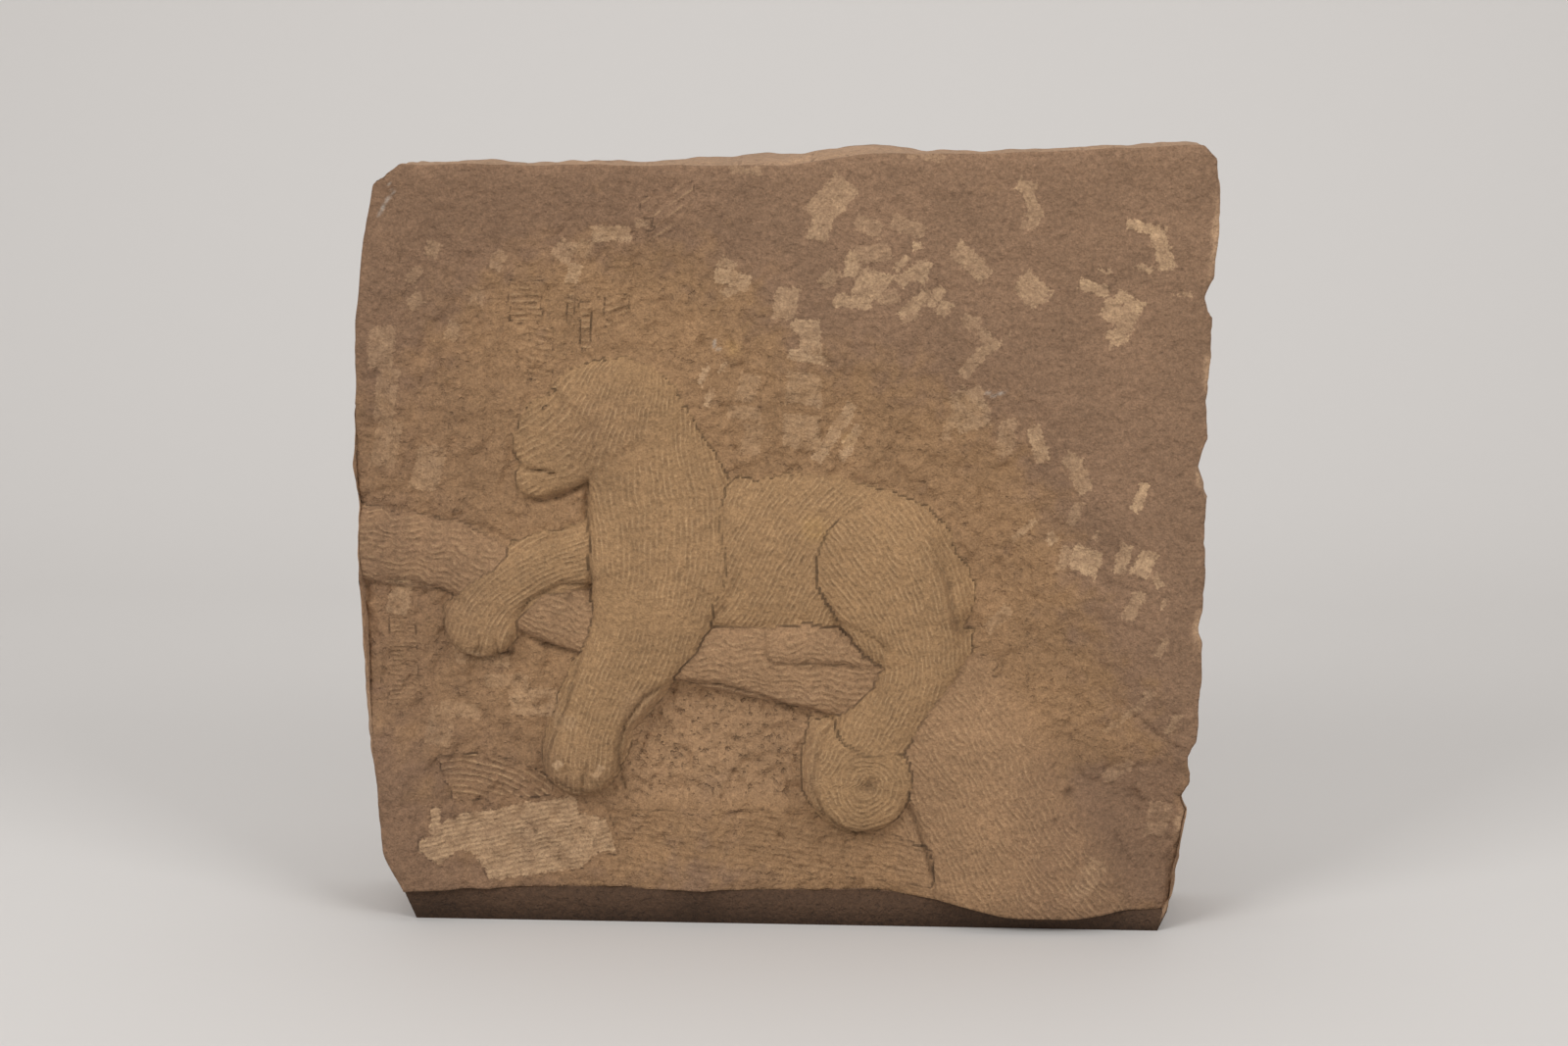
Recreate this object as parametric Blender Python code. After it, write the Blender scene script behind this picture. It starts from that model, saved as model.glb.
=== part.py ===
"""Stone relief panel: one block of brown sandstone with a big cat lying on a branch, carved in low relief.

Metres, +Z up. The carved face looks along -Y, the back is flat, and the block stands on its flat underside.
"""

import math

import bmesh
import bpy
from mathutils import Vector, noise

for old in list(bpy.data.objects):
    bpy.data.objects.remove(old, do_unlink=True)

# Block
PANEL_WIDTH = 0.446
PANEL_HEIGHT = 0.418
PANEL_DEPTH = 0.075
HALF_WIDTH = PANEL_WIDTH / 2

# Underside: the front arris is raised, and the flat that the block stands on starts behind it
UNDERCUT_DEPTH = 0.009
ARRIS_HEIGHT = 0.019
ARRIS_HEIGHT_RIGHT = 0.012
FOOT_ARRIS_DROP = 0.0035

# Outline: the left side bows out, the right side draws in at the foot, the top rises to the right in a step
BOW_HEIGHT = 0.270
BOW_REACH = 0.090
BOW_BELOW = 0.0014
BOW_ABOVE = 0.0072
BOTTOM_CORNER = 0.010
RIGHT_INSET = 0.006
FOOT_TAPER = 0.015
TOP_RISE = 0.0046
TOP_STEP = 0.0064

# Nicks broken out of the right arris: height, half length, depth
RIGHT_NICKS = [
    (0.345, 0.010, 0.004),
    (0.296, 0.020, 0.002),
    (0.259, 0.016, 0.005),
    (0.172, 0.008, 0.002),
    (0.101, 0.009, 0.003),
    (0.078, 0.007, 0.004),
]

# Sides: rough, swollen behind the arris, worn at the arris
ARRIS_WEAR = 0.0014
ARRIS_ROW = 0.004
SIDE_SWELL = 0.004
SWELL_DEPTH = 0.018
TOP_HUMP = 0.0035
SIDE_ROUGHNESS = 0.0018
CORNER_CHIP = 0.011
TOP_FALL = 0.004

# Levels of the carved face, counted out of the first face of the block
GROUND_LEVEL = -0.013
UPPER_GROUND_RISE = 0.0055
WINDOW_LEVEL = -0.017
FACE_WAVE = 0.0012
DISH_START = 0.026
DISH_END = 0.105
SOFT_JOIN = 0.0016
WALL_SLOPE = 1.6
SOFT_SLOPE = 0.3

# Places of the animal on the face, from the middle of the width and from the underside
CHEST_X = -0.067
CHEST_Z = 0.205
HEAD_X = -0.087
HEAD_Z = 0.273
BACK_Z = 0.2045
HAUNCH_X = 0.047
HAUNCH_Z = 0.198
HIND_PAW_X = 0.039
HIND_PAW_Z = 0.081
NEAR_PAW_X = -0.110
NEAR_PAW_Z = 0.091
FAR_PAW_X = -0.162
FAR_PAW_Z = 0.161

# Half widths of the forms
SKULL = 0.033
MUZZLE = 0.026
CHIN = 0.010
NECK = 0.030
CHEST = 0.038
BODY = 0.0405
HAUNCH = 0.032
NEAR_LEG = 0.020
NEAR_PAW = 0.0185
FAR_LEG = 0.0145
FAR_PAW = 0.018
HIND_LEG = 0.017
HIND_PAW = 0.0265
BRANCH = 0.0185
TRUNK = 0.034
KNOT = 0.009

# Mesh cells
FIGURE_CELL = 0.0061
BORDER_CELL = 0.011


def limb(crest, fall, *stations, wall=WALL_SLOPE):
    """A rounded form along stations of (x, z, half width, extra height).

    Its crest height, its fall from crest to edge, and the slope of the wall outside its edge.
    """
    return {"crest": crest, "fall": fall, "stations": stations, "wall": wall}


FORMS = [
    # Branch from the left edge, behind the legs, under the belly and into the trunk
    limb(-0.0065, 0.005,
         (-HALF_WIDTH - 0.010, 0.209, BRANCH + 0.002, 0.0),
         (-0.177, 0.200, BRANCH, 0.0),
         (-0.135, 0.177, BRANCH - 0.001, 0.0),
         (-0.095, 0.158, BRANCH - 0.003, 0.0)),
    limb(-0.0055, 0.005,
         (-0.095, 0.157, BRANCH - 0.004, -0.001),
         (-0.050, 0.149, BRANCH - 0.003, 0.0),
         (-0.020, 0.146, BRANCH, 0.0),
         (0.012, 0.142, BRANCH + 0.003, 0.0),
         (0.050, 0.136, BRANCH + 0.006, 0.0)),
    limb(-0.0025, 0.0015,
         (-0.003, 0.153, KNOT - 0.002, 0.0),
         (0.012, 0.155, KNOT, 0.0),
         (0.030, 0.152, KNOT - 0.003, 0.0),
         (0.052, 0.144, KNOT - 0.006, -0.002)),
    # Trunk
    limb(-0.004, 0.007,
         (0.060, 0.160, TRUNK - 0.006, -0.002),
         (0.080, 0.112, TRUNK - 0.003, 0.001),
         (0.099, 0.070, TRUNK, 0.004),
         (0.122, 0.022, TRUNK + 0.007, 0.007),
         (0.134, -0.006, TRUNK + 0.011, 0.007),
         wall=SOFT_SLOPE),
    # Far foreleg, stretched out over the branch
    limb(-0.0035, 0.0045,
         (-0.100, 0.204, FAR_LEG + 0.001, -0.002),
         (-0.136, 0.191, FAR_LEG, -0.001),
         (-0.158, 0.175, FAR_LEG + 0.001, 0.0),
         (FAR_PAW_X, FAR_PAW_Z + 0.004, FAR_PAW, 0.001)),
    # Body between shoulder and haunch
    limb(-0.0025, 0.006,
         (-0.050, BACK_Z - 0.002, BODY - 0.004, 0.0),
         (-0.012, BACK_Z - 0.001, BODY - 0.001, -0.001),
         (0.015, BACK_Z, BODY, 0.0),
         (0.035, BACK_Z - 0.002, BODY - 0.004, 0.0)),
    # Hind leg and round hind paw
    limb(0.002, 0.006,
         (HAUNCH_X, HAUNCH_Z, HAUNCH, 0.0),
         (HAUNCH_X + 0.013, HAUNCH_Z - 0.026, HAUNCH - 0.004, 0.0),
         (HAUNCH_X + 0.025, 0.148, HIND_LEG + 0.002, -0.0015),
         (HAUNCH_X + 0.013, 0.124, HIND_LEG - 0.001, -0.002),
         (HIND_PAW_X + 0.006, 0.103, HIND_LEG + 0.002, -0.002)),
    limb(0.0005, 0.005,
         (HIND_PAW_X, HIND_PAW_Z, HIND_PAW, 0.0),
         (HIND_PAW_X + 0.001, HIND_PAW_Z + 0.002, HIND_PAW, 0.0)),
    # Neck, chest and shoulder
    limb(0.0, 0.007,
         (-0.076, HEAD_Z - 0.008, NECK, -0.002),
         (CHEST_X, CHEST_Z + 0.027, CHEST - 0.002, -0.001),
         (CHEST_X + 0.001, CHEST_Z - 0.003, CHEST, 0.001),
         (-0.070, 0.178, CHEST - 0.006, 0.0)),
    # Near foreleg and paw
    limb(0.0, 0.0055,
         (-0.073, 0.166, NEAR_LEG + 0.009, 0.0),
         (-0.088, 0.139, NEAR_LEG + 0.002, -0.001),
         (-0.103, 0.114, NEAR_LEG - 0.002, -0.0015),
         (NEAR_PAW_X, NEAR_PAW_Z, NEAR_PAW, 0.0)),
    # Head: skull, muzzle and chin
    limb(-0.001, 0.006,
         (HEAD_X, HEAD_Z, SKULL, 0.0),
         (HEAD_X - 0.012, HEAD_Z - 0.001, SKULL - 0.002, 0.0),
         (-0.118, HEAD_Z - 0.009, MUZZLE, -0.003)),
    limb(-0.005, 0.005,
         (-0.132, 0.2435, CHIN + 0.001, 0.0),
         (-0.112, 0.249, CHIN, 0.001)),
]


def smooth_step(low, high, value):
    share = min(1.0, max(0.0, (value - low) / (high - low)))
    return share * share * (3.0 - 2.0 * share)


def bump(centre, half, value):
    """A smooth hill of height 1 with the given half width."""
    return 1.0 - smooth_step(0.0, half, abs(value - centre))


def along(form, x, z):
    """Distance from the form's axis, with the half width and extra height at the nearest place on it."""
    best = None
    stations = form["stations"]
    for (ax, az, ar, ah), (bx, bz, br, bh) in zip(stations, stations[1:]):
        dx = bx - ax
        dz = bz - az
        share = ((x - ax) * dx + (z - az) * dz) / (dx * dx + dz * dz)
        share = min(1.0, max(0.0, share))
        away = math.hypot(x - ax - share * dx, z - az - share * dz)
        half = ar + share * (br - ar)
        if best is None or away - half < best[0] - best[1]:
            best = (away, half, ah + share * (bh - ah))
    return best


def form_height(form, x, z):
    away, half, extra = along(form, x, z)
    top = form["crest"] + extra
    if away < half:
        return top - form["fall"] * (1.0 - math.sqrt(1.0 - (away / half) ** 2 * 0.98)), away - half
    return top - form["fall"] * (1.0 - math.sqrt(0.02)) - form["wall"] * (away - half), away - half


def soft_max(a, b):
    gap = max(0.0, 1.0 - abs(a - b) / (2.0 * SOFT_JOIN))
    return max(a, b) + 0.5 * SOFT_JOIN * gap * gap


def ground_height(x, z, away):
    """Cut back round the figure, rising to the first face of the block towards the borders."""
    dish = smooth_step(DISH_START, DISH_END, away)
    level = (GROUND_LEVEL + UPPER_GROUND_RISE * smooth_step(0.190, 0.290, z)) * (1.0 - dish)
    window = smooth_step(0.0, 0.016, min(x + 0.092, 0.022 - x, z - 0.062, 0.136 - z))
    level += (WINDOW_LEVEL - GROUND_LEVEL) * window
    return level + FACE_WAVE * noise.noise(Vector((x * 34.0, z * 34.0, 4.0)))


def groove(x, z, start, end, half, depth):
    """A cut along a straight line, tapering to both ends."""
    dx = end[0] - start[0]
    dz = end[1] - start[1]
    share = ((x - start[0]) * dx + (z - start[1]) * dz) / (dx * dx + dz * dz)
    share = min(1.0, max(0.0, share))
    away = math.hypot(x - start[0] - share * dx, z - start[1] - share * dz)
    return -depth * bump(0.0, half, away) * math.sin(math.pi * min(0.85, max(0.15, share)))


def face_height(x, z):
    """How far the carved face stands out of the first face of the block."""
    heights = [form_height(form, x, z) for form in FORMS]
    away = max(0.0, min(sd for _, sd in heights))
    height = ground_height(x, z, away)
    for top, _ in heights:
        height = soft_max(height, top)
    height += groove(x, z, (0.083, 0.199), (0.092, 0.160), 0.007, 0.004)
    height += groove(x, z, (0.066, 0.071), (0.079, 0.020), 0.007, 0.005)
    paw = math.hypot(x - HIND_PAW_X - 0.001, z - HIND_PAW_Z)
    return height - 0.0025 * bump(0.0, 0.007, paw)


def left_edge(z):
    bow = (z - BOW_HEIGHT) / BOW_REACH
    x = -HALF_WIDTH - 0.003 + (BOW_ABOVE if bow > 0.0 else BOW_BELOW) * bow * bow
    x += BOTTOM_CORNER * (1.0 - smooth_step(0.010, 0.042, z))
    return x + SIDE_ROUGHNESS * 0.6 * noise.noise(Vector((z * 55.0, 1.5, 0.0)))


def right_edge(z):
    x = HALF_WIDTH - RIGHT_INSET
    x -= FOOT_TAPER * max(0.0, 1.0 - z / 0.115)
    x += 0.003 * bump(0.385, 0.030, z)
    return x + SIDE_ROUGHNESS * 0.6 * noise.noise(Vector((z * 60.0, 7.5, 0.0)))


def top_edge(x):
    z = PANEL_HEIGHT - TOP_RISE * (1.0 - smooth_step(0.090, 0.215, x))
    z -= TOP_STEP * (1.0 - smooth_step(-0.005, 0.045, x))
    return z + 0.5 * SIDE_ROUGHNESS * noise.noise(Vector((x * 60.0, 3.5, 0.0)))


def bottom_edge(x):
    z = ARRIS_HEIGHT + (ARRIS_HEIGHT_RIGHT - ARRIS_HEIGHT) * smooth_step(0.050, 0.130, x)
    z -= FOOT_ARRIS_DROP * smooth_step(0.074, 0.130, x) * (1.0 - smooth_step(0.145, 0.185, x))
    z -= 0.002 * (1.0 - smooth_step(-0.210, -0.150, x))
    return z + 0.5 * SIDE_ROUGHNESS * noise.noise(Vector((x * 60.0, 9.5, 0.0)))


def face_point(across, up):
    """Point of the carved face from its shares of the width and of the height."""
    x = -HALF_WIDTH + across * PANEL_WIDTH
    z = up * PANEL_HEIGHT
    for _ in range(3):
        low = bottom_edge(x)
        high = top_edge(x)
        z = low + up * (high - low)
        left = left_edge(z)
        right = right_edge(z)
        x = left + across * (right - left)
    # The top corners are broken off, the left one more
    for corner, chip, inward in ((left_edge(z), CORNER_CHIP, 1.0), (right_edge(z), 0.58 * CORNER_CHIP, -1.0)):
        reach = inward * (x - corner) + (top_edge(x) - z)
        if reach < chip:
            x += inward * 0.5 * (chip - reach)
            z -= 0.5 * (chip - reach)
    return x, z


def outline_snap(x, z):
    """Moves a point near the visible edge of a form onto that edge, so the mesh follows the outlines."""
    reach = 0.5 * FIGURE_CELL
    heights = [form_height(form, x, z) for form in FORMS]
    ground = ground_height(x, z, max(0.0, min(sd for _, sd in heights)))
    chosen = None
    for index, (top, sd) in enumerate(heights):
        if abs(sd) > reach or FORMS[index]["wall"] == SOFT_SLOPE:
            continue
        others = [other for place, (other, _) in enumerate(heights) if place != index] + [ground]
        if top > max(others) + 0.0005 and (chosen is None or abs(sd) < abs(heights[chosen][1])):
            chosen = index
    if chosen is None:
        return x, z
    form = FORMS[chosen]
    step = 0.0005
    here = heights[chosen][1]
    slope_x = (form_height(form, x + step, z)[1] - form_height(form, x - step, z)[1]) / (2.0 * step)
    slope_z = (form_height(form, x, z + step)[1] - form_height(form, x, z - step)[1]) / (2.0 * step)
    return x - 0.9 * here * slope_x, z - 0.9 * here * slope_z


def arris_nick(x, z):
    """How far the right arris is broken back at this height."""
    near = 1.0 - smooth_step(0.0, 0.012, right_edge(z) - x)
    return near * sum(depth * bump(height, half, z) for height, half, depth in RIGHT_NICKS)


def grid_lines(start, end, zones):
    """Shares from 0 to 1 of the lines of the grid: the fine zone has the small cells."""
    marks = [start] + [edge for zone in zones for edge in zone[:2]] + [end]
    lines = []
    for low, high in zip(marks, marks[1:]):
        if high - low < 1e-6:
            continue
        fine = any(zone[0] - 1e-6 <= low and high <= zone[1] + 1e-6 for zone in zones)
        cells = max(1, round((high - low) / (FIGURE_CELL if fine else BORDER_CELL)))
        lines += [low + (high - low) * step / cells for step in range(cells)]
    lines.append(end)
    return [(line - start) / (end - start) for line in lines]


columns = grid_lines(-HALF_WIDTH, HALF_WIDTH, [(-0.190, 0.108)])
rows = grid_lines(0.0, PANEL_HEIGHT, [(0.042, 0.316)])

mesh_data = bmesh.new()
bmesh.ops.create_grid(mesh_data, x_segments=len(columns) - 1, y_segments=len(rows) - 1, size=0.5)
place = {}
for vert in mesh_data.verts:
    across = columns[round((vert.co.x + 0.5) * (len(columns) - 1))]
    up = rows[round((vert.co.y + 0.5) * (len(rows) - 1))]
    place[vert] = (across, up)

for vert, (across, up) in place.items():
    x, z = face_point(across, up)
    if 0.0 < across < 1.0 and 0.0 < up < 1.0:
        x, z = outline_snap(x, z)
    rim = min(x - left_edge(z), right_edge(z) - x, top_edge(x) - z, z - bottom_edge(x))
    worn = ARRIS_WEAR * (1.0 - smooth_step(0.0, 0.009, rim))
    vert.co = (x - arris_nick(x, z), -face_height(x, z) + worn, z)

# Each cell is cut along the diagonal that has the smaller step, so that the outlines stay even
for face in list(mesh_data.faces):
    corners = list(face.verts)
    steps = [abs(corners[i].co.y - corners[i + 2].co.y) for i in (0, 1)]
    start = 0 if steps[0] < steps[1] else 1
    bmesh.utils.face_split(face, corners[start], corners[start + 2])

# Each row of the sides: depth behind the first face, and how far the side has swollen out there
SIDE_ROWS = [(ARRIS_ROW + ARRIS_WEAR, 0.35), (SWELL_DEPTH, 1.0), (PANEL_DEPTH, 0.0)]

ring = {vert: vert for vert in mesh_data.verts if vert.is_boundary}
first = dict(ring)
for depth, swell in SIDE_ROWS:
    edges = [edge for edge in mesh_data.edges if edge.is_boundary]
    made = bmesh.ops.extrude_edge_only(mesh_data, edges=edges)
    fresh = [item for item in made["geom"] if isinstance(item, bmesh.types.BMVert)]
    inner = {}
    for vert in fresh:
        parent = next(edge.other_vert(vert) for edge in vert.link_edges if edge.other_vert(vert) in ring)
        inner[vert] = ring[parent]
    for vert, origin in inner.items():
        across, up = place[origin]
        x, z = face_point(across, up)
        rough = noise.noise(Vector((x * 40.0, depth * 60.0, z * 40.0)))
        y = depth + (0.0 if depth == PANEL_DEPTH else 0.002 * rough)
        if depth < SWELL_DEPTH:
            x -= 0.7 * arris_nick(x, z)
        if across in (0.0, 1.0):
            side = -1.0 if across == 0.0 else 1.0
            high = bump(0.135, 0.13, z) if across == 0.0 else 0.2
            x += side * (SIDE_SWELL * swell * high + SIDE_ROUGHNESS * rough)
        if up == 1.0:
            z += SIDE_ROUGHNESS * rough + TOP_HUMP * swell * bump(0.012, 0.060, x)
            level = smooth_step(-0.100, -0.010, x) * (1.0 - smooth_step(0.030, 0.075, x))
            z -= TOP_FALL * (1.0 - level) * depth / PANEL_DEPTH
        if up == 0.0:
            if depth >= SWELL_DEPTH:
                z = 0.0
                y = UNDERCUT_DEPTH if depth == SWELL_DEPTH else depth
            else:
                z *= 0.88
        vert.co = (x, y, z)
    ring = inner

back_edges = [edge for edge in mesh_data.edges if edge.is_boundary]
bmesh.ops.contextual_create(mesh_data, geom=back_edges)
bmesh.ops.recalc_face_normals(mesh_data, faces=mesh_data.faces)

# The middle of the box of the block goes over the origin
for axis in (0, 1):
    values = [vert.co[axis] for vert in mesh_data.verts]
    middle = 0.5 * (min(values) + max(values))
    for vert in mesh_data.verts:
        vert.co[axis] -= middle

mesh = bpy.data.meshes.new("relief_panel")
mesh_data.to_mesh(mesh)
mesh_data.free()

sandstone = bpy.data.materials.new("weathered sandstone")
sandstone.use_nodes = True
shader = sandstone.node_tree.nodes["Principled BSDF"]
shader.inputs["Base Color"].default_value = (0.275, 0.175, 0.108, 1.0)
shader.inputs["Roughness"].default_value = 0.92
mesh.materials.append(sandstone)

collection = bpy.data.collections.new("stone_relief_panel")
bpy.context.scene.collection.children.link(collection)
panel = bpy.data.objects.new("relief_panel", mesh)
collection.objects.link(panel)
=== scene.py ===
"""Stone relief panel: a block of brown sandstone with a big cat lying on a branch, carved in low relief."""

import math

import bmesh
import bpy
import numpy as np
from mathutils import Matrix, Vector, noise


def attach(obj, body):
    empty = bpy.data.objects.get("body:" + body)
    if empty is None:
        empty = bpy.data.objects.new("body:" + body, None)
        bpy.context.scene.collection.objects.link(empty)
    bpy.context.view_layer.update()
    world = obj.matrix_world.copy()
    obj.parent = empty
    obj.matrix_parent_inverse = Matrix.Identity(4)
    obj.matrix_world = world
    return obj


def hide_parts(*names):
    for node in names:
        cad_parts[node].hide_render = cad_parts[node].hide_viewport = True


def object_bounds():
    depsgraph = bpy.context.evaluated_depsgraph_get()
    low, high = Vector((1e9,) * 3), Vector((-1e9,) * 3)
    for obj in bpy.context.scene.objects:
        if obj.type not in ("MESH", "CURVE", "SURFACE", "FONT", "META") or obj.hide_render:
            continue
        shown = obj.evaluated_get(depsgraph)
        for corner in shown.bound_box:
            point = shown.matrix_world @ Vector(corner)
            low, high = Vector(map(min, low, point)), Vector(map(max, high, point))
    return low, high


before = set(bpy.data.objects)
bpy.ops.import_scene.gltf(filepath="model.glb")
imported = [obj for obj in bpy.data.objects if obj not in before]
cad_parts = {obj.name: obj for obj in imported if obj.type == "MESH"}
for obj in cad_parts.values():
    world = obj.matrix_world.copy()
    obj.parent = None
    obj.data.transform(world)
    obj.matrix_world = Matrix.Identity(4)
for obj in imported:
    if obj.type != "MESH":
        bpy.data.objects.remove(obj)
cad_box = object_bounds()

# ---------------------------------------------------------------------------------------------------------------
# The block: one piece of fine brown sandstone, quarried roughly square, with its carved side to the front.
# The back is sawn, the sides are broken, and the old brown face is left along the borders. It stands on its foot.
# All its sizes are in millimetres, x from the middle of the face and z up from the foot.
# ---------------------------------------------------------------------------------------------------------------
BLOCK_WIDTH = 446.0
BLOCK_HEIGHT = 418.0
BLOCK_DEPTH = 75.0
HALF_WIDTH = BLOCK_WIDTH / 2
SIDE_ROUGHNESS = 1.8
SIDE_SWELL = 4.0
TOP_HUMP = 3.5
ARRIS_WEAR = 1.4
LEFT_CHIP, RIGHT_CHIP = 11.0, 6.4
TOP_FALL = 4.0
FOOT_TUCK = 10.0
MIDDLE_SHIFT = 4.94
COLUMNS, ROWS = 298, 266

# Nicks broken out of the right arris: height, half length, depth
RIGHT_NICKS = [(345, 10, 4), (296, 20, 2), (259, 16, 5), (172, 8, 2), (101, 9, 3), (78, 7, 4)]


def smooth_step(low, high, value):
    share = np.clip((value - low) / (high - low), 0.0, 1.0)
    return share * share * (3.0 - 2.0 * share)


def bump(centre, half, value):
    return 1.0 - smooth_step(0.0, half, np.abs(value - centre))


def rough(x, y, z):
    """Stone noise from about -1 to 1 at places given in the noise's own cells."""
    x, y, z = np.broadcast_arrays(x, y, z)
    return np.array([noise.noise(place) for place in np.column_stack((x, y, z)).tolist()])


def left_edge(z):
    bow = (z - 270) / 90
    x = -HALF_WIDTH - 3 + np.where(bow > 0, 7.2, 1.4) * bow * bow
    x = x + 10 * (1 - smooth_step(10, 42, z))
    return x + SIDE_ROUGHNESS * 0.6 * rough(z * 0.055, 1.5, 0.0)


def right_edge(z):
    x = HALF_WIDTH - 6 - 15 * np.maximum(0.0, 1 - z / 115)
    x = x + 3 * bump(385, 30, z)
    return x + SIDE_ROUGHNESS * 0.6 * rough(z * 0.060, 7.5, 0.0)


def top_edge(x):
    z = BLOCK_HEIGHT - 4.6 * (1 - smooth_step(90, 215, x)) - 6.4 * (1 - smooth_step(-5, 45, x))
    return z + 0.5 * SIDE_ROUGHNESS * rough(x * 0.060, 3.5, 0.0)


def bottom_edge(x):
    z = 19 - 7 * smooth_step(50, 130, x)
    z = z - 3.5 * smooth_step(74, 130, x) * (1 - smooth_step(145, 185, x))
    z = z - 2 * (1 - smooth_step(-210, -150, x))
    return z + 0.5 * SIDE_ROUGHNESS * rough(x * 0.060, 9.5, 0.0)


def face_place(across, up):
    """x and z on the face from shares of the width and of the height, with the two top corners broken off."""
    x = -HALF_WIDTH + across * BLOCK_WIDTH
    z = up * BLOCK_HEIGHT
    for _ in range(3):
        low, high = bottom_edge(x), top_edge(x)
        z = low + up * (high - low)
        left, right = left_edge(z), right_edge(z)
        x = left + across * (right - left)
    left_chip = LEFT_CHIP + 1.5 * rough(x * 0.25, 41.0, z * 0.25)
    for corner, chip, inward in ((left_edge(z), left_chip, 1), (right_edge(z), RIGHT_CHIP, -1)):
        lost = np.maximum(0.0, chip - inward * (x - corner) - (top_edge(x) - z))
        x = x + inward * 0.5 * lost
        z = z - 0.5 * lost
    return x, z


block = bmesh.new()
bmesh.ops.create_grid(block, x_segments=COLUMNS, y_segments=ROWS, size=0.5)
across_layer = block.verts.layers.float.new("across")
up_layer = block.verts.layers.float.new("up")
depth_layer = block.verts.layers.float.new("depth")
for vert in block.verts:
    vert[across_layer] = vert.co.x + 0.5
    vert[up_layer] = vert.co.y + 0.5

# The sides go back from the arris in rows, closer together near the arris
for depth in (1.4, 3.2, 5.4, 9.0, 13.0, 18.0, 27.0, 38.0, 50.0, 62.0, 73.5, 75.0):
    arris = [edge for edge in block.edges if edge.is_boundary]
    made = bmesh.ops.extrude_edge_only(block, edges=arris)
    for item in made["geom"]:
        if isinstance(item, bmesh.types.BMVert):
            item[depth_layer] = depth
back = [edge for edge in block.edges if edge.is_boundary]
bmesh.ops.contextual_create(block, geom=back)
bmesh.ops.recalc_face_normals(block, faces=block.faces)
block_mesh = bpy.data.meshes.new("carved_block")
block.to_mesh(block_mesh)
block.free()


def read_layer(name):
    values = np.empty(len(block_mesh.vertices), np.float32)
    block_mesh.attributes[name].data.foreach_get("value", values)
    return values.astype(float)


across, up, depth = (read_layer(name) for name in ("across", "up", "depth"))
for name in ("across", "up", "depth"):
    block_mesh.attributes.remove(block_mesh.attributes[name])
x, z = face_place(across, up)
on_face = depth == 0.0

# ---------------------------------------------------------------------------------------------------------------
# The carving: the animal and its branch, cut out of the face of the block with flat chisels, claws and rasps.
# The forms are rounded ridges, and their heights are counted out of the first face of the block.
# ---------------------------------------------------------------------------------------------------------------
WALL_SLOPE = 2.4
UPPER_SLOPE = 0.8
SOFT_SLOPE = 0.3

# Crest height, fall from crest to edge, wall slope, stations of (x, z, half width, extra height)
FORMS = {
    "branch left": (-6.5, 5.0, WALL_SLOPE, [
        (-233, 209, 20.5, 0), (-177, 200, 18.5, 0), (-135, 177, 17.5, 0), (-95, 158, 15.5, 0)]),
    "branch middle": (-5.5, 5.0, WALL_SLOPE, [
        (-95, 157, 14.5, -1), (-50, 149, 15.5, 0), (-20, 146, 18.5, 0), (12, 142, 21.5, 0), (50, 136, 24.5, 0)]),
    "knot": (-2.5, 1.5, WALL_SLOPE, [(-3, 153, 7, 0), (12, 155, 9, 0), (30, 152, 6, 0), (52, 144, 3, -2)]),
    "trunk": (-4.0, 7.0, SOFT_SLOPE, [
        (60, 160, 28, -2), (80, 112, 31, 1), (99, 70, 34, 4), (122, 22, 41, 7), (134, -6, 45, 7)]),
    "far foreleg": (-3.5, 4.5, WALL_SLOPE, [
        (-100, 204, 15.5, -2), (-136, 191, 14.5, -1), (-158, 175, 15.5, 0), (-162, 165, 18, 1)]),
    "body": (-2.5, 6.0, WALL_SLOPE, [
        (-50, 202.5, 36.5, 0), (-12, 203.5, 39.5, -1), (15, 204.5, 40.5, 0), (35, 202.5, 36.5, 0)]),
    "hind leg": (2.0, 6.0, WALL_SLOPE, [
        (47, 198, 32, 0), (60, 172, 28, 0), (72, 148, 19, -1.5), (60, 124, 16, -2), (45, 103, 19, -2)]),
    "hind paw": (0.5, 5.0, WALL_SLOPE, [(39, 81, 26.5, 0), (40, 83, 26.5, 0)]),
    "chest": (0.0, 7.0, WALL_SLOPE, [(-76, 265, 30, -2), (-67, 232, 36, -1), (-66, 202, 38, 1), (-70, 178, 32, 0)]),
    "near foreleg": (0.0, 5.5, WALL_SLOPE, [
        (-73, 166, 29, 0), (-88, 139, 22, -1), (-103, 114, 18, -1.5), (-110, 91, 18.5, 0)]),
    "skull": (-1.0, 6.0, WALL_SLOPE, [(-87, 273, 33, 0), (-99, 272, 31, 0), (-118, 264, 26, -3)]),
    "chin": (-5.0, 5.0, WALL_SLOPE, [(-132, 243.5, 11, 0), (-112, 249, 10, 1)]),
}


def along(stations, x, z):
    """For the nearest place on the form's axis: distance outside its edge, half width, extra height, length gone,
    distance to the side of the axis, and how far upwards the place lies from it."""
    best = None
    gone = 0.0
    for (ax, az, ar, ah), (bx, bz, br, bh) in zip(stations, stations[1:]):
        dx, dz = bx - ax, bz - az
        length = math.hypot(dx, dz)
        share = np.clip(((x - ax) * dx + (z - az) * dz) / length ** 2, 0.0, 1.0)
        off_x, off_z = x - ax - share * dx, z - az - share * dz
        away = np.hypot(off_x, off_z)
        half = ar + share * (br - ar)
        side = (dx * (z - az) - dz * (x - ax)) / length
        upward = (off_z + 0.3 * off_x) / np.maximum(away, 0.01)
        found = [away - half, half, ah + share * (bh - ah), gone + share * length, side, upward]
        if best is None:
            best = found
        else:
            nearer = found[0] < best[0]
            best = [np.where(nearer, new, old) for new, old in zip(found, best)]
        gone += length
    return best


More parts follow.
